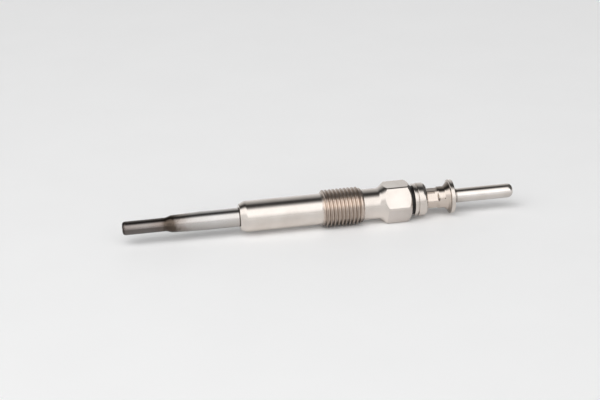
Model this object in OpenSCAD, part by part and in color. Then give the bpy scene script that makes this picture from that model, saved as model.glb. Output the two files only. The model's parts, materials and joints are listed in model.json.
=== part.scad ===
// Sheathed-element diesel glow plug with a round push-on terminal.
// The plug lies on a flat of its hexagon, as it comes to rest on a table.
// +X runs along the axis from the heated tip to the terminal, +Z is up, and the
// origin is on the axis where the sealing cone reaches the full shank diameter.

/* [Housing] */
// Diameter of the shank below the thread, and of the neck above it
shank_d = 8.2; // [7.6:0.1:8.7]
// Length of the shank, from the sealing cone to the thread
shank_len = 19.8; // [16:0.1:30]
// Diameter at the small end of the sealing cone
seat_d = 6.8; // [5.6:0.1:7]
// Half angle of the sealing cone, in degrees
seat_angle = 23; // [20:1:45]
// Major diameter of the thread
thread_d = 9.9; // [9.5:0.1:10]
// Length of the threaded stretch with its end chamfers
thread_len = 11.3; // [8:0.1:16]
// Diameter of the run-out, where the thread fades into the neck
runout_d = 9.1; // [8.8:0.1:9.4]
// Length of the run-out
runout_len = 1.3; // [1.2:0.1:2.5]
// Length of the plain neck between thread and hexagon
neck_len = 4.4; // [2:0.1:12]

/* [Hexagon] */
// Width across the flats
hex_af = 10; // [10:0.1:12]
// Diameter that the corners are turned to
hex_corner_d = 11.3; // [10.8:0.1:12]
// Length of the hexagon with its flare and chamfer
hex_len = 8.2; // [6:0.1:12]
// Half angle of the flare that rises from the neck, in degrees
flare_angle = 39; // [30:1:60]
// Diameter of the end face inside the corner chamfer
hex_face_d = 9.6; // [8.8:0.1:9.8]
// Angle of the corner chamfer from the end face, in degrees
chamfer_angle = 45; // [15:1:50]

/* [Bore] */
// Length over which the bore grips the glow tube
grip_len = 18; // [12:0.5:20]
// Radial room between the bore and the tube above the grip
bore_relief = 0.2; // [0.1:0.05:0.3]
// Diameter of the seal pocket in the hexagon end
pocket_d = 6.2; // [5.8:0.1:6.8]

/* [Glow tube] */
// Diameter of the tube
tube_d = 5; // [4.8:0.1:5.2]
// Wall of the tube
tube_wall = 0.6; // [0.4:0.05:0.7]
// Length that stands out of the housing
tube_out = 30.5; // [26:0.1:36]
// Length inside the housing
tube_in = 22; // [21:0.5:24]
// Diameter of the slim heated tip
tip_d = 3.6; // [3.4:0.1:3.9]
// Length of the slim tip
tip_len = 11.1; // [9:0.1:12]
// Corner radius of the tip's closed end
tip_round = 0.7; // [0.4:0.1:1.4]
// Thickness of the closed end
tip_wall = 1; // [0.7:0.1:1.5]
// Diameter at the shoulder behind the tip
shoulder_d = 4.5; // [4.2:0.1:4.7]
// Length of the swaged step up to the shoulder
swage_len = 1.9; // [1.5:0.1:4]
// Length of the slow taper from the shoulder to the full tube
taper_len = 7.4; // [3:0.1:8]

/* [Heater] */
// Diameter of the resistance wire
wire_d = 0.36; // [0.25:0.01:0.4]
// Winding radius of the heating coil, to the middle of the wire
heating_r = 0.78; // [0.6:0.02:0.88]
// Turns of the heating coil
heating_turns = 12; // [8:1:14]
// Winding radius of the control coil, to the middle of the wire
control_r = 1.15; // [0.8:0.05:1.25]
// Turns of the control coil
control_turns = 12; // [8:1:16]
// Length of the control coil with its leads
control_len = 15; // [12:0.1:20]

/* [Connecting rod and seals] */
// Diameter of the connecting rod
rod_d = 3; // [2.8:0.1:3.2]
// Diameter of the rod's slim end inside the tube
rod_end_d = 2.2; // [1.8:0.1:2.6]
// Length of the rubber bung in the tube's mouth
bung_len = 3; // [2:0.1:5]
// Depth of the washer's spigot in the seal pocket
spigot_len = 1.4; // [0.8:0.1:3]
// Diameter of the insulating washer
washer_d = 7.6; // [7:0.1:8.4]
// Thickness of the insulating washer between hexagon and terminal
washer_t = 1; // [0.6:0.1:1.5]

/* [Terminal] */
// Diameter of the collar
collar_d = 8.9; // [8.2:0.1:9.4]
// Length of the collar with its front ring
collar_len = 3.6; // [3:0.1:5]
// Diameter of the ring in front of the collar
ring_d = 8.6; // [7.8:0.1:8.8]
// Width of the ring in front of the collar
ring_len = 0.8; // [0.5:0.1:1.2]
// Width of the groove behind the ring
groove_w = 0.3; // [0.2:0.05:0.6]
// Depth of the groove below the ring
groove_depth = 0.3; // [0.1:0.05:0.5]
// Corner radius at the back of the collar
collar_round = 1.2; // [0.2:0.1:1.4]
// Diameter of the neck between collar and flange
cap_neck_d = 5.8; // [5.6:0.1:6]
// Width across the six crimp flats on that neck
crimp_af = 4.8; // [4.4:0.05:5]
// Diameter across the rounded corners of the crimp
crimp_corner_d = 5.4; // [5.1:0.05:5.5]
// Length of the crimp flats
crimp_len = 2.4; // [2:0.1:4]
// Plain neck left in front of the crimp flats
crimp_lead = 0.2; // [0.1:0.1:1]
// Plain neck from the crimp flats to the flange
cap_neck_len = 3.6; // [2:0.1:6]
// Diameter of the flange that the connector snaps over
flange_d = 9; // [8.8:0.1:9.6]
// Thickness of the flange's rim
flange_t = 1.1; // [0.8:0.1:2]
// Length and height of the cone at the flange's foot
flange_foot = 1.2; // [0.3:0.1:1.3]
// Diameter of the contact pin
pin_d = 3.8; // [3.4:0.1:4.4]
// Length of the contact pin
pin_len = 16.7; // [10:0.1:20]
// Corner radius of the contact pin's end
pin_round = 1.5; // [0.4:0.1:1.6]

/* [Hidden] */

// Smoothness of turned surfaces, and the facets of the coils
$fn = 96;
turn_steps = 14;
wire_sides = 6;
swage_steps = 8;
arc_step = 15;

// Clearances: rod through the washer, ring in its pocket, powder round the wire
slip_gap = 0.05;
ring_gap = 0.02;
powder_gap = 0.02;
// Depth by which cutters run past the faces they open
past = 1;

// Small edge breaks on turned corners
edge_break = 0.2;

// Stations along the axis
seat_len = (shank_d - seat_d) / 2 / tan(seat_angle);
x_face = -seat_len;
x_tip = x_face - tube_out;
x_thread = shank_len;
x_thread_end = x_thread + thread_len;
x_hex = x_thread_end + neck_len;
x_hex_end = x_hex + hex_len;
x_grip_end = x_face + grip_len;
x_tube_end = x_face + tube_in;
x_tip_inside = x_tip + tip_wall;
x_joint = x_tip + tip_len + swage_len;
x_rod = x_joint + control_len;
x_cap = x_hex_end + washer_t;
x_collar_end = x_cap + collar_len;
x_crimp = x_collar_end + crimp_lead;
x_crimp_end = x_crimp + crimp_len;
x_flange = x_crimp_end + cap_neck_len;
x_pin = x_flange + flange_t;
x_pin_end = x_pin + pin_len;

// Sizes that follow from their neighbours
ring_section = (pocket_d - rod_d) / 2 - 2 * ring_gap;
pocket_depth = ring_section + 2 * ring_gap + spigot_len;
x_pocket = x_hex_end - pocket_depth;
rod_step = x_tube_end + edge_break;
thread_chamfer = (thread_d - shank_d) / 2;
x_crest_end = x_thread_end - runout_len;
runout_step = (thread_d - runout_d) / 2;
runout_chamfer = (runout_d - shank_d) / 2;
flare_len = (hex_corner_d - shank_d) / 2 / tan(flare_angle);
hex_chamfer = (hex_corner_d - hex_face_d) / 2 * tan(chamfer_angle);

// Turns an outline of [radius, station] about the plug's axis
module turned() {
    rotate([0, 90, 0]) rotate_extrude() children();
}

// Round bar between two stations
module bar(d, from, to) {
    translate([from, 0, 0]) rotate([0, 90, 0]) cylinder(d = d, h = to - from);
}

// Six-sided bar between two stations, with a flat facing down
module hex_bar(af, from, to) {
    translate([from, 0, 0]) rotate([0, 90, 0]) rotate([0, 0, 30])
        cylinder(d = af / cos(30), h = to - from, $fn = 6);
}

// Half outline of a bar whose far end, at station h, has a rounded corner
module rounded_bar_outline(d, h, corner) {
    square([d / 2, h - corner]);
    square([d / 2 - corner, h]);
    translate([d / 2 - corner, h - corner]) intersection() {
        circle(corner);
        square(corner);
    }
}

// Eases from 0 to 1 as u goes from 0 to 1
function ease(u) = let (c = min(max(u, 0), 1)) c * c * (3 - 2 * c);

// The tube's outline behind its tip, shrunk by inset: the swaged step, then the slow taper
function swage_points(inset) = [
    for (k = [0:swage_steps])
        [tip_d / 2 + (shoulder_d - tip_d) / 2 * ease(k / swage_steps) - inset,
         x_tip + tip_len + swage_len * k / swage_steps],
    [tube_d / 2 - inset, x_tip + tip_len + swage_len + taper_len]
];

module swaged_outline(inset, end) {
    polygon([[0, x_tip + tip_len], each swage_points(inset), [tube_d / 2 - inset, end], [0, end]]);
}

// Steps along a coil from station x0 to x1, each a point and the angle it faces. The coil leaves
// the axis, swells to the winding radius within its first turn, and comes back within its last.
function coil_path(r, turns, x0, x1) = [
    for (k = [0:turns * turn_steps])
        let (turn = k / turn_steps, a = 360 * turn, radius = r * ease(turn) * ease(turns - turn))
        [[x0 + (x1 - x0) * turn / turns, radius * cos(a), radius * sin(a)], a]
];

function unit(v) = v / norm(v);

// Ring of wire_sides points round step k of a path, whose two ends run along the axis
function wire_ring(path, k, d) =
    let (last = len(path) - 1,
         along = k == 0 || k == last ? [1, 0, 0] : unit(path[k + 1][0] - path[k - 1][0]),
         away = [0, cos(path[k][1]), sin(path[k][1])],
         out = unit(away - along * (along * away)),
         across = cross(along, out))
    [for (s = [0:wire_sides - 1])
        let (a = 360 * s / wire_sides)
        path[k][0] + d / 2 * (cos(a) * out + sin(a) * across)];

// Wire of diameter d swept along a path
module wire(path, d) {
    rings = len(path);
    points = [for (k = [0:rings - 1]) each wire_ring(path, k, d)];
    sides = [
        for (k = [0:rings - 2], s = [0:wire_sides - 1])
            let (a = k * wire_sides + s,
                 b = k * wire_sides + (s + 1) % wire_sides)
            each [[a, b + wire_sides, b], [a, a + wire_sides, b + wire_sides]]
    ];
    front = [for (s = [0:wire_sides - 1]) s];
    back = [for (s = [1:wire_sides]) rings * wire_sides - s];
    polyhedron(points, [front, each sides, back]);
}

heating_path = coil_path(heating_r, heating_turns, x_tip_inside, x_joint);
control_path = coil_path(control_r, control_turns, x_joint, x_rod);

// Turned steel housing: sealing cone, shank, thread, neck and hexagon in one piece
module housing_outline() {
    polygon([
        [0, x_face], [seat_d / 2, x_face], [shank_d / 2, 0],
        [shank_d / 2, x_thread], [thread_d / 2, x_thread + thread_chamfer],
        [thread_d / 2, x_crest_end], [runout_d / 2, x_crest_end + runout_step],
        [runout_d / 2, x_thread_end - runout_chamfer], [shank_d / 2, x_thread_end],
        [shank_d / 2, x_hex + edge_break], [0, x_hex + edge_break]
    ]);
}

module hexagon_outline() {
    polygon([
        [0, x_hex], [shank_d / 2, x_hex], [hex_corner_d / 2, x_hex + flare_len],
        [hex_corner_d / 2, x_hex_end - hex_chamfer], [hex_face_d / 2, x_hex_end], [0, x_hex_end]
    ]);
}

module housing() {
    color([0.74, 0.71, 0.69])
    difference() {
        union() {
            turned() housing_outline();
            intersection() {
                hex_bar(hex_af, x_hex, x_hex_end);
                turned() hexagon_outline();
            }
        }
        bar(tube_d, x_face - past, x_grip_end);
        bar(tube_d + 2 * bore_relief, x_grip_end, x_pocket + past);
        bar(pocket_d, x_pocket, x_hex_end + past);
    }
}

// Closed sheath, swaged slim at the heated tip and gripped in the housing's bore
module glow_tube() {
    color([0.52, 0.49, 0.47])
    difference() {
        union() {
            turned() swaged_outline(0, x_tube_end);
            turned() translate([0, x_tip + tip_len]) mirror([0, 1])
                rounded_bar_outline(tip_d, tip_len, tip_round);
        }
        bar(tip_d - 2 * tube_wall, x_tip_inside, x_tip + tip_len + edge_break);
        turned() swaged_outline(tube_wall, x_tube_end + past);
    }
}

// Front coil, which glows: welded to the closed end of the tube
module heating_coil() {
    color([0.45, 0.42, 0.4]) wire(heating_path, wire_d);
}

// Rear coil, which limits the current: welded to the heating coil and to the rod
module control_coil() {
    color([0.6, 0.58, 0.55]) wire(control_path, wire_d);
}

// Pressed oxide powder that fills the tube round the coils and the rod's end
module insulating_powder() {
    both_coils = [
        [[x_tip_inside - past, 0, 0], 0],
        each heating_path,
        for (k = [1:len(control_path) - 1]) control_path[k],
        [[x_rod + past, 0, 0], 0]
    ];
    color([0.93, 0.92, 0.88])
    difference() {
        union() {
            bar(tip_d - 2 * tube_wall, x_tip_inside, x_tip + tip_len + edge_break);
            turned() swaged_outline(tube_wall, x_tube_end - bung_len);
        }
        wire(both_coils, wire_d + 2 * powder_gap);
        bar(rod_end_d, x_rod, x_tube_end);
    }
}

// Rubber bung that closes the mouth of the tube round the rod
module tube_bung() {
    color([0.16, 0.16, 0.17])
    difference() {
        bar(tube_d - 2 * tube_wall, x_tube_end - bung_len, x_tube_end);
        bar(rod_end_d, x_tube_end - bung_len - past, x_tube_end + past);
    }
}

// Steel rod that carries the current from the terminal to the control coil
module connecting_rod() {
    color([0.62, 0.6, 0.58])
    union() {
        bar(rod_end_d, x_rod, rod_step + edge_break);
        bar(rod_d, rod_step, x_flange);
    }
}

// Rubber ring that seals the rod in the pocket of the hexagon
module sealing_ring() {
    color([0.1, 0.1, 0.1])
    turned() translate([(pocket_d + rod_d) / 4, x_pocket + ring_section / 2 + ring_gap])
        circle(d = ring_section);
}

// Black washer with a spigot, which keeps the terminal clear of the housing
module insulating_washer() {
    color([0.05, 0.045, 0.045])
    difference() {
        union() {
            bar(pocket_d - 2 * slip_gap, x_hex_end - spigot_len, x_hex_end + edge_break);
            bar(washer_d, x_hex_end, x_cap);
        }
        bar(rod_d + 2 * slip_gap, x_hex_end - spigot_len - past, x_cap + past);
    }
}

// Turned terminal: ring, groove, collar, neck, snap flange and contact pin in one piece
module terminal_outline() {
    x_groove = x_cap + ring_len;
    groove_r = ring_d / 2 - groove_depth;
    front = [
        [0, x_cap], [ring_d / 2 - edge_break, x_cap], [ring_d / 2, x_cap + edge_break],
        [ring_d / 2, x_groove], [groove_r, x_groove], [groove_r, x_groove + groove_w],
        [collar_d / 2 - edge_break, x_groove + groove_w],
        [collar_d / 2, x_groove + groove_w + edge_break]
    ];
    collar_back = [
        for (turn = [0 : arc_step : 90])
            [collar_d / 2 - collar_round * (1 - cos(turn)), x_collar_end - collar_round * (1 - sin(turn))]
    ];
    neck_and_flange = [
        [cap_neck_d / 2, x_collar_end], [cap_neck_d / 2, x_flange - flange_foot],
        [cap_neck_d / 2 + flange_foot, x_flange], [flange_d / 2 - edge_break, x_flange],
        [flange_d / 2, x_flange + edge_break], [flange_d / 2, x_pin - edge_break],
        [flange_d / 2 - edge_break, x_pin], [0, x_pin]
    ];
    polygon(concat(front, collar_back, neck_and_flange));
    translate([0, x_pin - edge_break]) rounded_bar_outline(pin_d, pin_len + edge_break, pin_round);
}

// Outline of what the crimping jaws press away, with a sloped end towards the flange
module crimp_outline() {
    inside = crimp_af / 2 - edge_break;
    outside = cap_neck_d / 2 + past;
    polygon([
        [0, x_crimp], [outside, x_crimp], [outside, x_crimp_end + outside - inside],
        [inside, x_crimp_end], [0, x_crimp_end]
    ]);
}

module terminal_cap() {
    color([0.78, 0.75, 0.73])
    difference() {
        turned() terminal_outline();
        difference() {
            turned() crimp_outline();
            intersection() {
                hex_bar(crimp_af, x_crimp - past, x_flange);
                bar(crimp_corner_d, x_crimp - past, x_flange);
            }
        }
        bar(rod_d, x_cap - past, x_flange);
    }
}

housing();
glow_tube();
heating_coil();
control_coil();
insulating_powder();
tube_bung();
connecting_rod();
sealing_ring();
insulating_washer();
terminal_cap();
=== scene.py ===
# %% [markdown]
# # A diesel glow plug on a pale table
#
# A glow plug is a stack of turned parts on one axis: a steel sheath that heats up at its
# slim tip, a nickel-plated housing with a thread and a hexagon, a black insulating washer
# and a plated terminal. The solids come from CAD with their sizes, and this script dresses
# them: every piece that shows is made again as a smooth surface, and gets a finish of nodes.
#
# The first step loads the solids as a fixed frame. Their box is kept at once, so that the box
# of the dressed plug can be printed beside it at the end. Their box is kept at once, because
# the dressed plug has to stay inside it.

# %% Load the frame
import json
import math

import bpy
import numpy as np
from mathutils import Matrix, Vector


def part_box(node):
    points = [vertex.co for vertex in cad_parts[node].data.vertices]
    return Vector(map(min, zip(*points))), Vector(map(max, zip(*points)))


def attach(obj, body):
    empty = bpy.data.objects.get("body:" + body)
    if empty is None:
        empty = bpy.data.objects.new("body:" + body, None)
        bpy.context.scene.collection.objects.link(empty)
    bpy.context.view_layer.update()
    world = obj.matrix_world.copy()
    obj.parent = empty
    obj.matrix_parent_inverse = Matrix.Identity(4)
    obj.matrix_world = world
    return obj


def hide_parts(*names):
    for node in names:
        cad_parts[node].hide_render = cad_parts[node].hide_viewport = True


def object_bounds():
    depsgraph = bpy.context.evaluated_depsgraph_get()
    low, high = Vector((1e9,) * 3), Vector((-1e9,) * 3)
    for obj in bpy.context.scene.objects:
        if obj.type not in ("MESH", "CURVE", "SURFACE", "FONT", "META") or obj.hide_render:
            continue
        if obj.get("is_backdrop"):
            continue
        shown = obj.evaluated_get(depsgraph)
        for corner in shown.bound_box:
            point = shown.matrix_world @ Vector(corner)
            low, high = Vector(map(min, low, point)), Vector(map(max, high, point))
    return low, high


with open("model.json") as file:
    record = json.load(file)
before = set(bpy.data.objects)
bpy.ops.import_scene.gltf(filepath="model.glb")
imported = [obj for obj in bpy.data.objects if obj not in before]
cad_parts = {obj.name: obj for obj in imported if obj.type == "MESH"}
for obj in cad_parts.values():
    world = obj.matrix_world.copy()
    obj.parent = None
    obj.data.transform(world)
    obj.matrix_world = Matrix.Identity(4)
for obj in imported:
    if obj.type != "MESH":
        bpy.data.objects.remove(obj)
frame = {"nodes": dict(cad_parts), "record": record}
cad_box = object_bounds()
print("CAD nodes:", ", ".join(sorted(frame["nodes"])))

# %% [markdown]
# ## Sizes
#
# Blender works in metres, but a drawing of a part this small is in millimetres, so the
# shapes are worked out in millimetres and scaled once, when they become a mesh. All sizes
# could be typed in, but then they could drift from the CAD, so stations along the axis and
# outer sizes are read off the solids. What a box can't tell, such as where the shank ends, is
# written with its own name where it is first needed.

# %% Read the main stations off the solids
MM = 0.001


def reach(node):
    """First and last station of a CAD node along the axis, and its greatest height over it."""
    low, high = (np.array(corner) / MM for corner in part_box(node))
    return low[0], high[0], max(-low[2], high[2])


FACE, HEX_END, FLAT_R = reach("housing")
TIP, TUBE_END, TUBE_R = reach("glow_tube")
SPIGOT, _, WASHER_R = reach("insulating_washer")
CAP, PIN_END, FLANGE_R = reach("terminal_cap")
mounts = {mount["name"]: mount for mount in frame["record"]["mounts"]}
THREAD_R = mounts["thread"]["dims"]["r_mm"]
PIN_R = mounts["terminal_pin"]["dims"]["r_mm"]
print(f"plug from {TIP:.2f} to {PIN_END:.2f} mm, thread radius {THREAD_R}, pin radius {PIN_R}")

# %% [markdown]
# ## Turning a profile
#
# Everything here came off a lathe, so every piece is the same kind of surface: an outline in
# station and radius, carried round the axis. Blender's Spin or Screw could do that, but a
# grid of numbers lets the radius change on the way round as well, which a thread and a
# hexagon need. One parameter runs along the outline, the other is the angle of turn.
#
# A turned edge is never quite sharp. Each corner of an outline therefore carries a small
# reach, and a curve cuts it off at that distance, which is what catches the light.

# %% Outlines with soft corners
def soft_outline(corners, steps=6):
    """Line through rows of (station, radius, reach). Each corner P gives way to the quadratic
    curve (1-t)^2 A + 2t(1-t) P + t^2 B, where A and B lie `reach` before and after it."""
    rows = np.asarray(corners, float)
    corner, cut = rows[:, :2], rows[:, 2:]
    before, after = np.roll(corner, 1, 0) - corner, np.roll(corner, -1, 0) - corner
    start = corner + cut * before / np.linalg.norm(before, axis=1, keepdims=True)
    end = corner + cut * after / np.linalg.norm(after, axis=1, keepdims=True)
    t = np.linspace(0, 1, steps)[None, :, None]
    pull = 2 * t * (1 - t) * corner[:, None]
    curve = (1 - t) ** 2 * start[:, None] + pull + t**2 * end[:, None]
    line = curve.reshape(-1, 2)
    apart = np.linalg.norm(np.diff(line, axis=0), axis=1) > 1e-6
    return line[np.r_[True, apart]]


sample = soft_outline([(0, 0, 0), (0, 2, 0.5), (2, 2, 0)])
print(f"a corner with a reach of 0.5 mm becomes a curve of {len(sample) - 2} points")


# %% Finer rows where the radius changes on the way round
def finer(line, step):
    """The same line, with each stretch cut into equal parts no longer than `step`, which is one
    number, or one for each stretch."""
    stretch = np.diff(line, axis=0)
    parts = np.ceil(np.linalg.norm(stretch, axis=1) / step).astype(int)
    owner = np.repeat(np.arange(len(parts)), parts)
    first = np.repeat(np.cumsum(parts) - parts, parts)
    share = (np.arange(parts.sum()) - first) / parts[owner]
    return np.vstack([line[owner] + share[:, None] * stretch[owner], line[-1:]])


print(f"cut at every 0.1 mm, the same line has {len(finer(sample, 0.1))} points")

# %% The angles of turn
# The angle is a uniform count u bent to TURN = u - PACKING sin(6u)/6, which packs the columns
# closer at every sixth of a turn, where the corners of the hexagons are.
COLUMNS = 192
SIDES = 6
PACKING = 0.6
count = np.linspace(0, 2 * np.pi, COLUMNS, endpoint=False)
TURN = count - PACKING * np.sin(SIDES * count) / SIDES
apart = np.degrees(np.diff(TURN))
print(f"{COLUMNS} columns, {apart.min():.2f} to {apart.max():.2f} degrees apart")

# %% From a grid to a mesh
SHARP_EDGE = math.radians(40)


def add_object(name, data):
    """A new object at the origin of the scene."""
    made = bpy.data.objects.new(name, data)
    bpy.context.scene.collection.objects.link(made)
    return made


def turned_piece(name, station, radius, closed):
    """Piece whose grid point (i, j) is at station[i] along X and radius[i, j] from the axis, at
    angle TURN[j] from +Y towards +Z. A closed outline joins its last row to its first; an open
    one starts and ends near the axis, and a fan of triangles closes each end."""
    rows = len(station)
    x = np.broadcast_to(station[:, None], radius.shape)
    grid = np.stack([x, radius * np.cos(TURN), radius * np.sin(TURN)], -1).reshape(-1, 3)
    i = np.arange(rows if closed else rows - 1)[:, None]
    j = np.arange(COLUMNS)
    here, there = i * COLUMNS, (i + 1) % rows * COLUMNS
    beside = (j + 1) % COLUMNS
    quads = np.stack([here + j, here + beside, there + beside, there + j], -1)
    faces = quads.reshape(-1, 4).tolist()
    if not closed:
        grid = np.vstack([grid, [[station[0], 0, 0], [station[-1], 0, 0]]])
        first, last = np.full(COLUMNS, rows * COLUMNS), np.full(COLUMNS, rows * COLUMNS + 1)
        end = (rows - 1) * COLUMNS
        faces += np.stack([first, beside, j], -1).tolist()
        faces += np.stack([end + j, end + beside, last], -1).tolist()
    mesh = bpy.data.meshes.new(name)
    mesh.from_pydata((grid * MM).tolist(), [], faces)
    mesh.shade_smooth()
    mesh.set_sharp_from_angle(angle=SHARP_EDGE)
    print(f"{name}: {rows} rows, {sum(len(face) - 2 for face in faces)} triangles")
    return add_object(name, mesh)


# %% [markdown]
# ## The housing
#
# The housing is one turned piece: a sealing cone that seats in the cylinder head, a plain
# shank, the thread, a neck, and a hexagon for the spanner. It could be a row of cylinders
# joined by Boolean modifiers, but every joint would show as a crease. Here its outline is
# walked once round instead, up the front face, along the outside, and back through the seal
# pocket and the bore, so the mesh closes on itself like a ring.

# %% Sizes of the housing
SHANK_R, SEAT_R = 4.1, 3.4
THREAD, THREAD_END = 19.8, 31.1
THREAD_CHAMFER = THREAD_R - SHANK_R
RUNOUT_LEN, RUNOUT_R = 1.3, 4.55
HEX, CORNER_R, FLARE_ANGLE = 35.5, 5.65, math.radians(39)
END_FACE_R, END_ANGLE = 4.8, math.radians(45)
POCKET_DEPTH, POCKET_R = 3.0, 3.1
GRIP_LEN, BORE_ROOM, BORE_EDGE = 18, 0.2, 0.16

FLARE = (CORNER_R - SHANK_R) / math.tan(FLARE_ANGLE)
END_CHAMFER = (CORNER_R - END_FACE_R) * math.tan(END_ANGLE)
print(f"flare {FLARE:.2f} mm long, end chamfer {END_CHAMFER:.2f} mm")

# %% The housing's outline
THREAD_STEP = 0.042
crest_end = THREAD_END - RUNOUT_LEN
pocket, grip_end, bore_r = HEX_END - POCKET_DEPTH, FACE + GRIP_LEN, TUBE_R + BORE_ROOM

before_thread = soft_outline([
    (FACE + BORE_EDGE, TUBE_R, 0), (FACE, TUBE_R + BORE_EDGE, 0.03), (FACE, SEAT_R, 0.12),
    (0, SHANK_R, 0.3), (THREAD, SHANK_R, 0),
])
threaded = finer(soft_outline([
    (THREAD, SHANK_R, 0), (THREAD + THREAD_CHAMFER, THREAD_R, 0.1),
    (crest_end, THREAD_R, 0.1), (crest_end + THREAD_R - RUNOUT_R, RUNOUT_R, 0.1),
    (THREAD_END - RUNOUT_R + SHANK_R, RUNOUT_R, 0.15), (THREAD_END, SHANK_R, 0),
]), THREAD_STEP)
neck_and_hexagon = soft_outline([
    (THREAD_END, SHANK_R, 0), (HEX, SHANK_R, 0.5), (HEX + FLARE, CORNER_R, 0.12),
    (HEX_END - END_CHAMFER, CORNER_R, 0.06), (HEX_END, END_FACE_R, 0.08), (HEX_END, POCKET_R, 0),
], steps=10)
inside = np.array([(pocket, POCKET_R), (pocket, bore_r), (grip_end, bore_r), (grip_end, TUBE_R)])
print(f"outline: {len(before_thread)}, {len(threaded)}, {len(neck_and_hexagon)} and 4 points")

# %% [markdown]
# ### The thread
#
# A screw thread is a ridge wound round a bar. A helix of rings could be swept along a curve,
# but the ends would need to be trimmed into the shank. On the grid it is simpler: the radius
# is the lower of the chamfered bar and a ridge whose phase moves one pitch for each turn, so
# the ridge fades out at the chamfers by itself, as it does when a die cuts it.

# %% A fine right-hand thread
PITCH = 1.0
THREAD_DEPTH = 0.5413 * PITCH
CREST, ROOT = PITCH / 10, PITCH / 8


def thread_radius(station, turn):
    """Radius of the thread at a station and angle. The phase, station less pitch times turns,
    gives the distance from the nearest crest; the crest and the root are flat and the flank
    between them is straight."""
    phase = np.mod(station / PITCH - turn / (2 * np.pi), 1.0)
    from_crest = np.abs(phase - 0.5) * PITCH
    flank = PITCH / 2 - CREST - ROOT
    height = np.clip((PITCH / 2 - ROOT - from_crest) / flank, 0, 1)
    return THREAD_R - THREAD_DEPTH * (1 - height)


threaded_radius = np.minimum(threaded[:, 1:], thread_radius(threaded[:, :1], TURN[None, :]))
lowest = threaded_radius[len(threaded) // 2].min()
print(f"thread root radius {lowest:.3f} mm over {len(threaded)} rows")

# %% [markdown]
# ### The hexagon
#
# The bar is hexagonal before it is turned, so each point of the hexagon lies on whichever is
# lower: the flat, or the cone and cylinder that the lathe left. Where they cross they make the
# curved edges that every nut has. A Boolean of a prism and a cone would give them too, but with
# ragged triangles. A plain minimum on the grid would leave a hard crease, so a smooth minimum
# rounds it by a few hundredths of a millimetre. Only the sloping stretches need close rows.

# %% Flats cut by the lathe
def flats(turn, half_width):
    """Radius of a hexagon with a flat facing down: half its width over the cosine of the angle
    to the middle of the nearest flat."""
    return half_width / np.cos(np.mod(turn, 2 * np.pi / SIDES) - np.pi / SIDES)


def smooth_min(a, b, soft):
    """Lower of a and b, rounded where they are within `soft` of each other:
    half of (a + b - the root of ((a - b)^2 + soft^2))."""
    return (a + b - np.sqrt((a - b) ** 2 + soft**2)) / 2


CONE_STEP, PLAIN_STEP = 0.045, 0.6
EDGE_SOFT = 0.05
sloping = np.abs(np.diff(neck_and_hexagon, axis=0)).min(axis=1) > 1e-6
neck_and_hexagon = finer(neck_and_hexagon, np.where(sloping, CONE_STEP, PLAIN_STEP))
hex_radius = np.where(
    neck_and_hexagon[:, :1] > HEX,
    smooth_min(neck_and_hexagon[:, 1:], flats(TURN, FLAT_R)[None, :], EDGE_SOFT),
    neck_and_hexagon[:, 1:],
)
print(f"hexagon: {hex_radius[:, 0].max():.3f} mm to a corner over {len(hex_radius)} rows")


# %% Join the housing's stretches
def all_round(line):
    """The radius of each outline point, the same at every angle."""
    return np.repeat(line[:, 1:], COLUMNS, axis=1)


stretches = (before_thread[:-1], threaded[:-1], neck_and_hexagon, inside)
housing = turned_piece(
    "housing_skin",
    np.concatenate([stretch[:, 0] for stretch in stretches]),
    np.vstack([all_round(before_thread[:-1]), threaded_radius[:-1], hex_radius, all_round(inside)]),
    closed=True,
)

# %% [markdown]
# ## The glow tube
#
# The sheath is a closed steel tube. Its end is swaged, which means hammered down to a smaller
# diameter, so the step up to the full tube is a soft S-curve and no corner. A cylinder with
# scaled loops and a Subdivision Surface would come close, but its curve would not keep to the
# drawing. The outline goes along the outside from the tip, over the mouth inside the housing,
# and back along the inner wall, so the tube is hollow as the real one is.

# %% Outline of the swaged tube
SLIM_R, SHOULDER_R = 1.8, 2.25
TUBE_WALL, TIP_WALL, TIP_ROUND = 0.6, 1.0, 1.0
SWAGE, SWAGE_LEN, SWAGE_ROWS = TIP + 11.1, 1.9, 25
TAPER_LEN, TAPER_BULGE = 7.4, 0.01
POLE_R = 0.05

u = np.linspace(0, 1, SWAGE_ROWS)
swage = np.column_stack([
    SWAGE + SWAGE_LEN * u,
    SLIM_R + (SHOULDER_R - SLIM_R) * u**2 * (3 - 2 * u),
])
shoulder = SWAGE + SWAGE_LEN
taper = np.array([
    (shoulder + TAPER_LEN / 2, (SHOULDER_R + TUBE_R) / 2 + TAPER_BULGE),
    (shoulder + TAPER_LEN, TUBE_R),
])
closed_end = soft_outline([
    (TIP, POLE_R, 0), (TIP, SLIM_R, TIP_ROUND), (SWAGE, SLIM_R, 0),
], steps=12)
outer = np.vstack([closed_end[:-1], swage, taper, [(TUBE_END, TUBE_R)]])
print(f"swaged from {2 * TUBE_R:.1f} down to {2 * SLIM_R:.1f} mm")

# %% Inner wall of the tube
wall = np.array([0, TUBE_WALL])
inner = np.vstack([
    [(TUBE_END, TUBE_R - TUBE_WALL)], taper[::-1] - wall, swage[::-1] - wall,
    [(TIP + TIP_WALL, SLIM_R - TUBE_WALL), (TIP + TIP_WALL, POLE_R)],
])
profile = np.vstack([outer, inner])
tube = turned_piece("sheath_tube", profile[:, 0], all_round(profile), closed=False)

# %% [markdown]
# ## The insulating washer
#
# Current reaches the plug through the terminal and leaves through the housing, so the two must
# not touch. A black moulded washer keeps them apart. A spigot on it sits in the housing's
# pocket, out of sight. Only its rim shows, and that rim is rounded like any moulding. Two
# cylinders with a Bevel modifier would do, but the soft outline gives rim and spigot at once.

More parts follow.
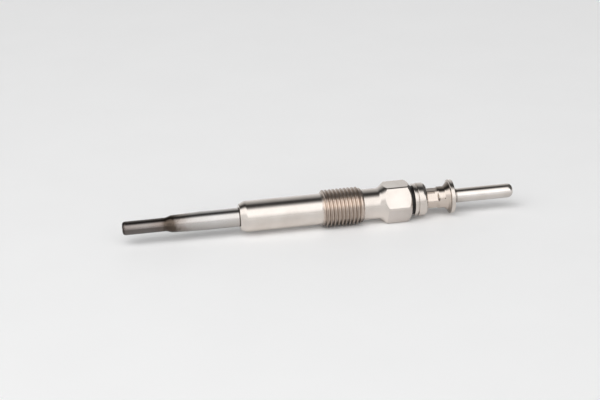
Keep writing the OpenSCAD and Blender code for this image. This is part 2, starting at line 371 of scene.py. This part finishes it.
# %% Outline of the washer
ROD_R, ROD_ROOM, SPIGOT_ROOM = 1.5, 0.05, 0.05
SPIGOT_R = POCKET_R - SPIGOT_ROOM
HOLE_R = ROD_R + ROD_ROOM
washer_line = soft_outline([
    (SPIGOT, HOLE_R, 0), (SPIGOT, SPIGOT_R, 0.1), (HEX_END, SPIGOT_R, 0.02),
    (HEX_END, WASHER_R, 0.15), (CAP, WASHER_R, 0.15), (CAP, HOLE_R, 0),
])
washer = turned_piece("insulating_ring", washer_line[:, 0], all_round(washer_line), closed=True)

# %% [markdown]
# ## The terminal
#
# The terminal is turned too: a ring and a groove, a collar, a waist, a flange that the cable's
# socket snaps over, and a long contact pin. It is fixed to the rod inside by a crimp, which
# presses six flats into the waist. The flats could be cut with a Boolean or a knife, but the
# minimum that made the housing's hexagon makes these as well, with rounded corners and a slope
# where the jaws stop.

# %% The terminal's outline
RING_R, RING_LEN = 4.3, 0.8
GROOVE_R, GROOVE_LEN = 4.0, 0.3
COLLAR_R, COLLAR_END, COLLAR_ROUND = 4.45, CAP + 3.6, 1.35
WAIST_R, WAIST_STEP = 2.9, 0.06
CRIMP, CRIMP_END = COLLAR_END + 0.2, COLLAR_END + 2.6
FLANGE, FLANGE_FOOT, FOOT_LEAD = CRIMP_END + 3.6, 1.2, 0.3
PIN, PIN_ROUND = FLANGE + 1.1, 1.7
groove = CAP + RING_LEN
collar = groove + GROOVE_LEN
foot = FLANGE - FLANGE_FOOT

front = soft_outline([
    (FLANGE, POLE_R, 0), (FLANGE, ROD_R, 0), (CAP, ROD_R, 0), (CAP, RING_R, 0.18),
    (groove, RING_R, 0.08), (groove, GROOVE_R, 0.04), (collar, GROOVE_R, 0.04),
    (collar, COLLAR_R, 0.2), (COLLAR_END, COLLAR_R, COLLAR_ROUND), (COLLAR_END, WAIST_R, 0),
])
waist = finer(np.array([(COLLAR_END, WAIST_R), (foot - FOOT_LEAD, WAIST_R)]), WAIST_STEP)
back = soft_outline([
    (foot - FOOT_LEAD, WAIST_R, 0), (foot, WAIST_R, 0.25), (FLANGE, WAIST_R + FLANGE_FOOT, 0.2),
    (FLANGE, FLANGE_R, 0.2), (PIN, FLANGE_R, 0.2), (PIN, PIN_R, 0.1),
    (PIN_END, PIN_R, PIN_ROUND), (PIN_END, POLE_R, 0),
], steps=10)
print(f"terminal: collar from {collar:.1f}, flange at {FLANGE:.1f}, pin from {PIN:.1f} mm")

# %% Crimp flats and a dent on the waist
CRIMP_FLAT, CRIMP_CORNER, CRIMP_SOFT = 2.4, 2.7, 0.06
SLOPE_FOOT, FRONT_STEEPNESS = CRIMP_FLAT - 0.2, 4
DENT_STATION, DENT_TURN = 51.5, math.radians(169)
DENT_DEPTH, DENT_LEN, DENT_WIDTH = 0.06, 0.25, 0.4

at = waist[:, :1]
jaws = smooth_min(flats(TURN, CRIMP_FLAT)[None, :], CRIMP_CORNER, CRIMP_SOFT)
slope = SLOPE_FOOT + np.maximum(at - CRIMP_END, FRONT_STEEPNESS * (CRIMP - at))
pressed = -smooth_min(-jaws, -slope, CRIMP_SOFT)
waist_radius = smooth_min(waist[:, 1:], pressed, CRIMP_SOFT)
along = (at - DENT_STATION) / DENT_LEN
across = (TURN[None, :] - DENT_TURN) * WAIST_R / DENT_WIDTH
waist_radius = waist_radius - DENT_DEPTH * np.exp(-(along**2 + across**2))
print(f"waist radius from {waist_radius.min():.2f} to {waist_radius.max():.2f} mm")

# %% Join the terminal's stretches
terminal = turned_piece(
    "terminal_skin",
    np.concatenate([front[:-1, 0], waist[:-1, 0], back[:, 0]]),
    np.vstack([all_round(front[:-1]), waist_radius[:-1], all_round(back)]),
    closed=False,
)

# %% [markdown]
# ## Finishes as sums
#
# A finish is a small graph of nodes. Wiring it by hand hides the idea in socket names, so one
# class wraps a node's output and lets Python's operators add the Math nodes: `1 - mask` or
# `(y * y + z * z) ** 0.5` then read as what they mean. All other nodes come from one method.

# %% A node output that can be reckoned with
class Signal:
    """A node's output. Every operator adds one Math node to the same tree."""

    def __init__(self, socket):
        self.socket = socket
        self.tree = socket.id_data

    @staticmethod
    def node(tree, kind, settings, sockets, output=0):
        """Add a node to a tree: its settings first, where `stops` are a ramp's, then the values
        or links of its sockets. What comes back is the output that is asked for."""
        made = tree.nodes.new(kind)
        for name, value in settings.items():
            if name == "stops":
                ramp = made.color_ramp
                while len(ramp.elements) < len(value):
                    ramp.elements.new(1.0)
                for element, (position, colour) in zip(ramp.elements, value):
                    element.position, element.color = position, colour
            else:
                setattr(made, name, value)
        for name, value in sockets.items():
            if isinstance(value, Signal):
                tree.links.new(value.socket, made.inputs[name])
            else:
                made.inputs[name].default_value = value
        return Signal(made.outputs[output])

    def beside(self, output):
        """Another output of the same node."""
        return Signal(self.socket.node.outputs[output])

    def math(self, operation, first, second):
        """One Math node."""
        return Signal.node(
            self.tree, "ShaderNodeMath", {"operation": operation}, {0: first, 1: second},
        )

    def __add__(self, other):
        return self.math("ADD", self, other)

    def __sub__(self, other):
        return self.math("SUBTRACT", self, other)

    def __rsub__(self, other):
        return self.math("SUBTRACT", other, self)

    def __mul__(self, other):
        return self.math("MULTIPLY", self, other)

    def __truediv__(self, other):
        return self.math("DIVIDE", self, other)

    def __pow__(self, other):
        return self.math("POWER", self, other)

    __radd__, __rmul__ = __add__, __mul__


print("signals: each of + - * / ** adds one Math node")


# %% Masks: where a finish changes
def rise(value, low, high):
    """0 below low, 1 above high, and a smooth step between them."""
    return Signal.node(
        value.tree, "ShaderNodeMapRange", {"interpolation_type": "SMOOTHSTEP"},
        {"Value": value, "From Min": low, "From Max": high},
    )


def between(value, low, high, soft):
    """1 from low to high and 0 outside, with steps `soft` wide."""
    half = soft / 2
    return rise(value, low - half, low + half) * (1 - rise(value, high - half, high + half))


def clouds(place, size, detail=3.0):
    """Soft 3-D noise around a half, with features of about `size` millimetres."""
    return Signal.node(
        place.tree, "ShaderNodeTexNoise", {"noise_dimensions": "3D"},
        {"Vector": place, "Scale": 1 / (size * MM), "Detail": detail},
    )


def turning_lines(station, width):
    """1-D noise along the axis, so it makes rings of about `width` millimetres round the piece."""
    return Signal.node(
        station.tree, "ShaderNodeTexNoise", {"noise_dimensions": "1D"},
        {"W": station / width, "Scale": 1.0, "Detail": 2.0},
    )


print("masks: steps, bands, clouds and rings")

# %% Colours: how a finish changes
# A Mix node lists its sockets for every type of data. These are the ones for colours.
SHARE, COLOUR_A, COLOUR_B, MIXED = 0, 6, 7, 2


def tint(share, first, second):
    """Colour that goes from first to second as share goes from 0 to 1."""
    return Signal.node(
        share.tree, "ShaderNodeMix", {"data_type": "RGBA"},
        {SHARE: share, COLOUR_A: first, COLOUR_B: second}, MIXED,
    )


def stain_and_shade(colour, share, multiplier):
    """Colour times a second colour as share goes from 0 to 1: stains, painted shade and highlights.
    """
    return Signal.node(
        share.tree, "ShaderNodeMix", {"data_type": "RGBA", "blend_type": "MULTIPLY"},
        {SHARE: share, COLOUR_A: colour, COLOUR_B: multiplier}, MIXED,
    )


class Finish:
    """A material with its shader, and the object's own coordinates in millimetres."""

    def __init__(self, name, metallic):
        self.material = bpy.data.materials.new(name)
        self.material.use_nodes = True
        tree = self.material.node_tree
        self.shader = tree.nodes["Principled BSDF"]
        self.shader.inputs["Metallic"].default_value = metallic
        self.place = Signal.node(tree, "ShaderNodeTexCoord", {}, {}, "Object")
        x = Signal.node(tree, "ShaderNodeSeparateXYZ", {}, {0: self.place}, "X")
        self.station, self.back, self.up = x / MM, x.beside("Y") / MM, x.beside("Z") / MM

    def around(self):
        """Distance from the axis, and the lift: 1 on top, 0 at the sides and -1 underneath."""
        radius = (self.back * self.back + self.up * self.up) ** 0.5
        return radius, self.up / radius

    def feed(self, socket, signal):
        """Link a signal to one of the shader's sockets."""
        self.material.node_tree.links.new(signal.socket, self.shader.inputs[socket])

    def emboss(self, height, depth):
        """Bump of `depth` millimetres from a height around a half."""
        self.feed("Normal", Signal.node(
            height.tree, "ShaderNodeBump", {},
            {"Strength": 1.0, "Distance": depth * MM, "Height": height},
        ))

    def report(self):
        """Say how many nodes the finish took."""
        print(f"{self.material.name}: {len(self.material.node_tree.nodes)} nodes")


print("colours: tints and stains")

# %% [markdown]
# ## Nickel plate
#
# The housing and the terminal are steel with a bright nickel plate, a little warmer than
# chrome. One colour and one roughness could do, but the gloss would be the same everywhere. The
# cutting tool leaves rings too fine to see one by one, so a 1-D noise along the axis moves the
# roughness and the bump, and broad clouds keep the tone from being flat.

# %% The plate that both pieces share
NICKEL_LIGHT, NICKEL_DEEP = (0.70, 0.648, 0.605, 1), (0.62, 0.565, 0.52, 1)
PATCH_SIZE, GLOSS_SWING = 6.0, 0.06
RING_WIDTH, RING_DEPTH = 0.12, 0.004
CLOUD_EDGE = (0.3, 0.7)


def nickel(name, roughness):
    """A finish with rings in its bump, the tone of the plate, mixed by clouds, and a roughness
    that clouds and rings move to and fro."""
    finish = Finish(name, metallic=1.0)
    patches = clouds(finish.place, PATCH_SIZE)
    rings = turning_lines(finish.station, RING_WIDTH)
    tone = tint(rise(patches, *CLOUD_EDGE), NICKEL_DEEP, NICKEL_LIGHT)
    dull = roughness + GLOSS_SWING * (patches - 0.5) + GLOSS_SWING * (rings - 0.5)
    finish.emboss(rings, RING_DEPTH)
    return finish, tone, dull


print(f"rings of {RING_WIDTH} mm, patches of {PATCH_SIZE} mm")

# %% [markdown]
# ### Plate on the housing
#
# The plate in the thread is rough and tan. Its roots and flanks are painted lighter than its
# crests, which offsets the shade between the ridges. Painted shade darkens the thread outside a
# band above the middle, which is left as a painted highlight, and darkens the roots underneath.
# Painted shade also darkens the lower flats of the hexagon. Painted textures could show all
# that, but the radius and the lift of a point already tell where it is, so masks made of them
# place each mark.

# %% Nickel in the thread
# The roots and flanks are painted lighter than the crests, which offsets the shade between the
# ridges.
THREAD_CREST, THREAD_ROOT_LIGHTENED = (0.62, 0.515, 0.44, 1), (0.74, 0.63, 0.55, 1)
THREAD_SHADE, ROOT_SHADE = (0.74, 0.75, 0.76, 1), (0.25, 0.23, 0.22, 1)
THREAD_HIGHLIGHT_BAND, ROOT_SHADE_EDGE = (0.34, 0.8, 0.3), (-0.75, -0.32)
HOUSING_ROUGH, THREAD_ROUGHER = 0.14, 0.16
THREAD_ZONE = (THREAD + 0.2, THREAD_END - 0.2, 0.6)

housing_nickel, tone, dull = nickel("nickel_plate_housing", HOUSING_ROUGH)
station = housing_nickel.station
radius, lift = housing_nickel.around()
in_thread = between(station, *THREAD_ZONE)
on_ridge = rise(radius, THREAD_R - THREAD_DEPTH, THREAD_R)
thread_tone = tint(on_ridge, THREAD_ROOT_LIGHTENED, THREAD_CREST)
# Painted shade darkens the thread outside a band above the middle, leaving a painted highlight
# there.
thread_tone = stain_and_shade(thread_tone, 1 - between(lift, *THREAD_HIGHLIGHT_BAND), THREAD_SHADE)
# Painted shade darkens the roots on the underside.
thread_tone = stain_and_shade(thread_tone, (1 - on_ridge) * (1 - rise(lift, *ROOT_SHADE_EDGE)), ROOT_SHADE)
housing_nickel.feed("Roughness", dull + THREAD_ROUGHER * in_thread)
print(f"tan plate from {THREAD_ZONE[0]:.1f} to {THREAD_ZONE[1]:.1f} mm")

# %% Nickel on the rest of the housing
LOWER_FLAT_SHADE, LOWER_FLAT_EDGE = (0.86, 0.86, 0.87, 1), (-0.15, 0.05)
HEX_EDGE = (HEX + FLARE - 0.4, HEX + FLARE)

# Painted shade darkens the lower flats of the hexagon.
on_lower_flats = rise(station, *HEX_EDGE) * (1 - rise(lift, *LOWER_FLAT_EDGE))
plate = stain_and_shade(tone, on_lower_flats, LOWER_FLAT_SHADE)
housing_nickel.feed("Base Color", tint(in_thread, plate, thread_tone))
housing_nickel.report()

# %% [markdown]
# ### Plate on the terminal
#
# The waist has a warmer tone than the rest, and a few pits. Painted shade darkens the upper flat
# of the crimp, the top of the waist, and the corners in front of the flange and at the foot of
# the pin. The pin has a painted highlight in front and painted shade underneath. Pits could come
# from a noise, but these three have their places, so each is a small ball of stain round a
# point.

# %% Waist tone and painted shade on the terminal
TERMINAL_ROUGH = 0.12
WAIST_STAIN, WAIST_ZONE = (0.93, 0.89, 0.86, 1), (COLLAR_END - 0.2, FLANGE, 0.5)
# Colour of the painted shade on the terminal, and where it lies.
TERMINAL_SHADE, CRIMP_ZONE = (0.42, 0.40, 0.38, 1), (CRIMP, CRIMP_END - 0.3, 0.2)
CRIMP_TOP_EDGE, WAIST_TOP_EDGE = (0.68, 0.8), (0.74, 0.92)
PIN_FOOT_ZONE, PIN_FOOT_EDGE = (PIN - 0.1, PIN + 1.1, 0.3), (PIN_R + 0.1, PIN_R + 0.6)
PIN_FOOT_SHARE = 0.8
FLANGE_CORNER_ZONE, FLANGE_CORNER_EDGE = (FLANGE - 0.6, FLANGE + 0.1, 0.2), (-0.8, 0.2)

terminal_nickel, tone, dull = nickel("nickel_plate_terminal", TERMINAL_ROUGH)
station = terminal_nickel.station
radius, lift = terminal_nickel.around()
on_waist = between(station, *WAIST_ZONE)
# Painted shade darkens the upper flat of the crimp.
crimp_top_shade = between(station, *CRIMP_ZONE) * rise(lift, *CRIMP_TOP_EDGE)
# Painted shade darkens the top of the waist.
waist_top_shade = on_waist * rise(lift, *WAIST_TOP_EDGE)
# Painted shade darkens the corner at the foot of the pin.
pin_foot_shade = between(station, *PIN_FOOT_ZONE) * (1 - rise(radius, *PIN_FOOT_EDGE))
# Painted shade darkens the lower corner in front of the flange.
flange_corner_shade = between(station, *FLANGE_CORNER_ZONE) * (1 - rise(lift, *FLANGE_CORNER_EDGE))
on_top = crimp_top_shade.math("MAXIMUM", crimp_top_shade, waist_top_shade)
# One mask for the painted shade on the crimp, the waist's top and the two corners.
painted_shade = on_top + PIN_FOOT_SHARE * pin_foot_shade + flange_corner_shade
tone = stain_and_shade(tone, on_waist, WAIST_STAIN)
terminal_nickel.feed("Roughness", dull)
print(f"waist stained from {WAIST_ZONE[0]:.1f} to {WAIST_ZONE[1]:.1f} mm")

# %% A painted highlight on the pin, and three pits
PIN_HIGHLIGHT, PIN_HIGHLIGHT_BAND = (1.14, 1.17, 1.21, 1), (0.02, 0.6, 0.3)
PIN_UNDERSIDE_SHADE, PIN_UNDERSIDE_EDGE = (0.86, 0.87, 0.89, 1), (-0.5, 0.1)
PIN_EDGE = (PIN, PIN + 0.4)
PIT_STAIN, PIT_CORE = (0.2, 0.17, 0.15, 1), 0.3
PITS = [((51.6, -2.45, 0.45), 0.6), ((51.6, -2.5, 0.1), 0.5), ((53.1, -2.8, 0.6), 0.2)]


def pit(place, middle, size):
    """1 near a point given in millimetres, fading to 0 at `size` millimetres from it."""
    point = [value * MM for value in middle]
    away = Signal.node(
        place.tree, "ShaderNodeVectorMath", {"operation": "DISTANCE"}, {0: place, 1: point},
        "Value",
    )
    return 1 - rise(away / MM, PIT_CORE * size, size)


pits = sum(pit(terminal_nickel.place, middle, size) for middle, size in PITS)
on_pin = rise(station, *PIN_EDGE)
# A painted highlight brightens the pin in a band in front.
tone = stain_and_shade(tone, on_pin * between(lift, *PIN_HIGHLIGHT_BAND), PIN_HIGHLIGHT)
# Painted shade darkens the pin underneath.
tone = stain_and_shade(tone, on_pin * (1 - rise(lift, *PIN_UNDERSIDE_EDGE)), PIN_UNDERSIDE_SHADE)
terminal_nickel.feed("Base Color", stain_and_shade(stain_and_shade(tone, painted_shade, TERMINAL_SHADE), pits, PIT_STAIN))
terminal_nickel.report()

# %% [markdown]
# ## Heat-tinted steel
#
# The sheath has been glowing hot, so its tip has gone brown and grey, and the swaged step,
# where the oxide looks thickest, is almost black. The rest is bright steel. A row of
# materials would change in hard steps, so a ramp along the axis gives those colours in order,
# and noise pushes the station to and fro first, so that no border runs straight round.
#
# Then painted light changes the ramp: painted shade darkens the oxide except for a painted
# highlight along one side, painted shade darkens the closed end and the underside of the bright
# part, and a dark joint closes the housing's mouth.

# %% Colours along the sheath
SHEATH_STOPS = [
    (TIP, (0.20, 0.17, 0.16, 1)), (TIP + 1.5, (0.27, 0.24, 0.225, 1)),
    (TIP + 6, (0.29, 0.263, 0.248, 1)), (SWAGE - 1.2, (0.25, 0.21, 0.19, 1)),
    (SWAGE + 0.4, (0.11, 0.085, 0.068, 1)), (SWAGE + 2.2, (0.12, 0.095, 0.076, 1)),
    (SWAGE + 3.8, (0.34, 0.30, 0.275, 1)), (SWAGE + 7, (0.50, 0.475, 0.455, 1)),
    (SWAGE + 13, (0.58, 0.56, 0.545, 1)), (FACE, (0.58, 0.545, 0.52, 1)),
]
LENGTH = FACE - TIP
WANDER_SIZE, WANDER_REACH = 1.8, 4.0

sheath = Finish("heat_tinted_sheath", metallic=1.0)
wander = clouds(sheath.place, WANDER_SIZE)
pushed = (sheath.station + WANDER_REACH * (wander - 0.5) - TIP) / LENGTH
stops = [((at - TIP) / LENGTH, colour) for at, colour in SHEATH_STOPS]
heat = Signal.node(wander.tree, "ShaderNodeValToRGB", {"stops": stops}, {"Fac": pushed})
print(f"sheath: {len(SHEATH_STOPS)} colours along {LENGTH:.1f} mm")

# %% Painted light, the joint and the gloss of the sheath
OXIDE_SHADE, OXIDE_EDGE = (0.5, 0.5, 0.5, 1), (SWAGE - 1, SWAGE + 4)
HIGHLIGHT_UP, HIGHLIGHT_FRONT, HIGHLIGHT_EDGE = 0.41, 0.91, (0.91, 0.985)
END_SHADE, END_SHADE_EDGE = (0.3, 0.27, 0.25, 1), (TIP + 0.1, TIP + 0.8)
SHEATH_UNDERSIDE_SHADE, SHEATH_UNDERSIDE_EDGE = (0.68, 0.67, 0.66, 1), (-0.7, 0.2)
JOINT, JOINT_EDGE = (0.12, 0.10, 0.09, 1), (FACE - 0.35, FACE - 0.05)
SHEATH_ROUGH, OXIDE_ROUGHER, SHEATH_SWING, DRAWN_WIDTH = 0.15, 0.05, 0.06, 0.1

radius, lift = sheath.around()
oxide = 1 - rise(sheath.station, *OXIDE_EDGE)
# Painted shade darkens the oxide, except along a painted highlight on the side facing front and up.
to_highlight = (HIGHLIGHT_UP * sheath.up - HIGHLIGHT_FRONT * sheath.back) / radius
tone = stain_and_shade(heat, oxide * (1 - rise(to_highlight, *HIGHLIGHT_EDGE)), OXIDE_SHADE)
# Painted shade darkens the closed end.
tone = stain_and_shade(tone, 1 - rise(sheath.station, *END_SHADE_EDGE), END_SHADE)
# Painted shade darkens the bright steel underneath.
tone = stain_and_shade(tone, (1 - oxide) * (1 - rise(lift, *SHEATH_UNDERSIDE_EDGE)), SHEATH_UNDERSIDE_SHADE)
sheath.feed("Base Color", tint(rise(sheath.station, *JOINT_EDGE), tone, JOINT))
drawn = turning_lines(sheath.station, DRAWN_WIDTH)
swing = SHEATH_SWING * (drawn - 0.5) + SHEATH_SWING * (wander - 0.5)
sheath.feed("Roughness", SHEATH_ROUGH + OXIDE_ROUGHER * oxide + swing)
sheath.emboss(drawn, RING_DEPTH)
sheath.report()

# %% [markdown]
# ## Moulded plastic, rubber, powder and wire
#
# The washer is black moulded plastic with a fine grain. The sealed pieces inside never see the
# camera, but a part that is cut open or taken apart shows them, so each gets a finish of its
# own: dull resistance wire, white pressed oxide, black rubber and drawn rod. They could have
# five graphs, but they differ only in two tones, a grain and a gloss, so one function makes
# them all.

# %% Finishes with two tones and a grain
LOW_SHINE = 0.25
GRAIN_DETAIL, GRAIN_SWING = 4.0, 0.2


def grained(name, deep, light, grain, roughness, metallic, depth):
    """Two tones mixed by noise of `grain` millimetres, which also moves roughness and bump."""
    finish = Finish(name, metallic)
    finish.shader.inputs["Specular IOR Level"].default_value = LOW_SHINE
    speckle = clouds(finish.place, grain, GRAIN_DETAIL)
    finish.feed("Base Color", tint(rise(speckle, *CLOUD_EDGE), deep, light))
    finish.feed("Roughness", roughness + GRAIN_SWING * (speckle - 0.5))
    finish.emboss(speckle, depth)
    finish.report()
    return finish.material


# %% Plastic, rubber and powder
black_plastic = grained(
    "black_moulding", (0.008, 0.007, 0.007, 1), (0.02, 0.018, 0.018, 1),
    grain=0.3, roughness=0.42, metallic=0.0, depth=0.01,
)
seal_rubber = grained(
    "seal_rubber", (0.012, 0.012, 0.013, 1), (0.03, 0.03, 0.031, 1),
    grain=0.35, roughness=0.6, metallic=0.0, depth=0.01,
)
oxide_powder = grained(
    "pressed_oxide", (0.74, 0.72, 0.66, 1), (0.88, 0.87, 0.83, 1),
    grain=0.25, roughness=0.85, metallic=0.0, depth=0.02,
)

# %% Wire and rod
coil_wire = grained(
    "resistance_wire", (0.20, 0.18, 0.165, 1), (0.34, 0.32, 0.30, 1),
    grain=0.2, roughness=0.4, metallic=1.0, depth=0.004,
)
rod_steel = grained(
    "drawn_rod", (0.44, 0.425, 0.41, 1), (0.54, 0.525, 0.51, 1),
    grain=0.5, roughness=0.3, metallic=1.0, depth=0.003,
)

# %% [markdown]
# ## Dress the plug
#
# On the real plug four pieces show and six are sealed in. All ten could be made again, but the
# sealed solids already have their true shape, so they stay and only change their material. Each
# new surface takes its finish, hides the solid that it stands for, and rides on the plug's one
# body.

# %% Pieces that show
for piece, material, node, slot in (
    (housing, housing_nickel.material, "housing", "nickel_plate"),
    (tube, sheath.material, "glow_tube", "sheath_steel"),
    (washer, black_plastic, "insulating_washer", "black_plastic"),
    (terminal, terminal_nickel.material, "terminal_cap", "nickel_plate"),
):
    piece.data.materials.append(material)
    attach(piece, "root")
    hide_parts(node)
    print(piece.name, "stands for", node)

# %% Pieces inside
for node, material in (
    ("heating_coil", coil_wire), ("control_coil", coil_wire), ("insulating_powder", oxide_powder),
    ("tube_bung", seal_rubber), ("connecting_rod", rod_steel), ("sealing_ring", seal_rubber),
):
    inner_piece = frame["nodes"][node]
    inner_piece.data.materials.clear()
    inner_piece.data.materials.append(material)
    print(node, "is", material.name)

# %% [markdown]
# ## The table
#
# The plug lies on a pale, smooth surface. Any plane would do, but one of four points made here
# lies just under the hexagon's flat by construction. It is much larger than the picture, so no
# view finds its edge, and faint mottling keeps it from looking like paper cut from one colour.

# %% A pale table
TABLE_HALF, TABLE_GAP = 3.0, 0.02
TABLE_DEEP, TABLE_LIGHT = (0.915, 0.915, 0.915, 1), (0.945, 0.945, 0.945, 1)
MOTTLE_SIZE, TABLE_ROUGH, TABLE_SWING = 25.0, 0.55, 0.1

floor_mesh = bpy.data.meshes.new("table")
corner = np.array([(-1, -1), (1, -1), (1, 1), (-1, 1)]) * TABLE_HALF
table_top = np.full(4, -(FLAT_R + TABLE_GAP) * MM)
floor_mesh.from_pydata(np.column_stack([corner, table_top]).tolist(), [], [(0, 1, 2, 3)])
floor = add_object("table", floor_mesh)
floor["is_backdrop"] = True
table = Finish("pale_table", metallic=0.0)
mottle = clouds(table.place, MOTTLE_SIZE)
table.feed("Base Color", tint(mottle, TABLE_DEEP, TABLE_LIGHT))
table.feed("Roughness", TABLE_ROUGH + TABLE_SWING * mottle)
floor_mesh.materials.append(table.material)
print(f"table top at {table_top[0] / MM:.2f} mm")

# %% [markdown]
# ## The studio
#
# A shiny part is a picture of its surroundings, so the studio counts as much as the metal. Lamps
# and boards could stand round the plug, but a sky of nodes does the same and renders with less
# noise. It is a long strip light in front and above, a dark gap overhead, and a soft glow
# behind: a ramp over the angle round the plug's axis, from the front horizon over the top to
# the back. Towards the left the strip climbs. On the right, except in front, a dark curtain
# hangs to the table. Elsewhere the sky fades near the horizon into one pale tone.

# %% The strip light round the plug
SKY_STOPS = [
    (0, 0.98), (9, 1.16), (16, 1.33), (23, 1.47), (30, 1.52), (60, 1.52), (67, 1.18),
    (74, 0.66), (82, 0.26), (90, 0.08), (100, 0.05), (110, 0.09), (120, 0.29), (132, 0.5),
    (147, 0.68), (166, 0.92), (180, 0.88),
]
SKY_TOP, STRIP_CLIMB = 2.0, 0.26

world = bpy.data.worlds.new("studio")
world.use_nodes = True
bpy.context.scene.world = world
background = world.node_tree.nodes["Background"]
background.inputs["Strength"].default_value = SKY_TOP
direction = Signal.node(world.node_tree, "ShaderNodeTexCoord", {}, {}, "Generated")
up = Signal.node(world.node_tree, "ShaderNodeSeparateXYZ", {}, {0: direction}, "Z")
aside, behind = up.beside("X"), up.beside("Y")
climb = STRIP_CLIMB * aside.math("MINIMUM", aside, 0.0)
angle = up.math("ARCTAN2", up, -1 * behind) / math.pi + climb
stops = [(at / 180, (level / SKY_TOP,) * 3 + (1,)) for at, level in SKY_STOPS]
strip = Signal.node(world.node_tree, "ShaderNodeValToRGB", {"stops": stops}, {"Fac": angle})
print("studio ramp:", len(SKY_STOPS), "stops")

# %% Horizon and curtain
HORIZON, HORIZON_EDGE = (0.48, 0.48, 0.48, 1), (0.02, 0.2)
CURTAIN, CURTAIN_EDGE, CURTAIN_FRONT = (0.06, 0.06, 0.06, 1), (0.36, 0.56), (-0.62, -0.42)

on_right = rise(aside, *CURTAIN_EDGE) * rise(behind, *CURTAIN_FRONT)
sky = tint(on_right, tint(rise(up, *HORIZON_EDGE), HORIZON, strip), CURTAIN)
world.node_tree.links.new(sky.socket, background.inputs["Color"])
bpy.context.scene.view_settings.view_transform = "Standard"
print("studio:", len(world.node_tree.nodes), "nodes")

# %% [markdown]
# ### A key lamp
#
# The sky alone would leave the shadow faint and straight behind the plug. In a studio one lamp
# stands out, here above, in front and a little to the left, so a large soft disc adds its light
# from there. A sun would do it too, but its shadow would be the same at every distance. The
# lamp is hidden from glossy rays, because the strip light is already what the metal shows.

# %% Soft lamp from above
LAMP_PLACE, LAMP_AIM = Vector((-0.25, -0.38, 0.53)), Vector((0.02, 0, 0))
lamp_data = bpy.data.lights.new("key", "AREA")
lamp_data.shape = "DISK"
lamp_data.size = 0.7
lamp_data.energy = 1.85
lamp = add_object("key", lamp_data)
lamp.location = LAMP_PLACE
lamp.rotation_euler = (LAMP_PLACE - LAMP_AIM).to_track_quat("Z", "Y").to_euler()
lamp.visible_glossy = False
print("key lamp at", [round(value, 2) for value in lamp.location])

# %% [markdown]
# ## Camera
#
# The picture was taken with a long lens from a little left and above, and the camera was
# turned slightly about its own line of sight, which is called roll. It could be aimed with a
# Track To constraint, but that allows no roll. So the camera is placed from its angles: back
# along the line of sight from the middle of the thread, then sideways and up until that point
# falls where it does in the picture, which needs no lens shift.

# %% Camera at the picture's angle
AZIMUTH, ELEVATION, ROLL = (math.radians(degrees) for degrees in (-9.5, 21.26, -2.16))
DISTANCE, SIDEWAYS, UPWARDS = 411.0, -10.75, 2.22
AIM = Vector((25.5, 0, 0))
SENSOR, LENS, NEAR = 36.0, 93.6, 0.01

level_reach = math.cos(ELEVATION)
view_back = Vector((
    math.sin(AZIMUTH) * level_reach, -math.cos(AZIMUTH) * level_reach, math.sin(ELEVATION),
))
view_right = Vector((math.cos(AZIMUTH), math.sin(AZIMUTH), 0))
view_up = view_back.cross(view_right)
camera_data = bpy.data.cameras.new("camera")
camera_data.sensor_width, camera_data.lens, camera_data.clip_start = SENSOR, LENS, NEAR
camera = add_object("camera", camera_data)
camera.location = (AIM + DISTANCE * view_back + SIDEWAYS * view_right + UPWARDS * view_up) * MM
level = Matrix((view_right, view_up, view_back)).transposed()
camera.rotation_euler = (level @ Matrix.Rotation(ROLL, 3, "Z")).to_euler()
bpy.context.scene.camera = camera
print("camera at", [round(value, 4) for value in camera.location])

# %% [markdown]
# ## The size of the dressed plug
#
# The boxes of the solids and of the dressed plug are printed side by side. The dressed plug
# may not grow out of the solids' box.

# %% Sizes side by side
visual_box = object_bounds()
for label, (low, high) in (("CAD", cad_box), ("dressed", visual_box)):
    print(label, "box:", [round((b - a) / MM, 3) for a, b in zip(low, high)], "mm")
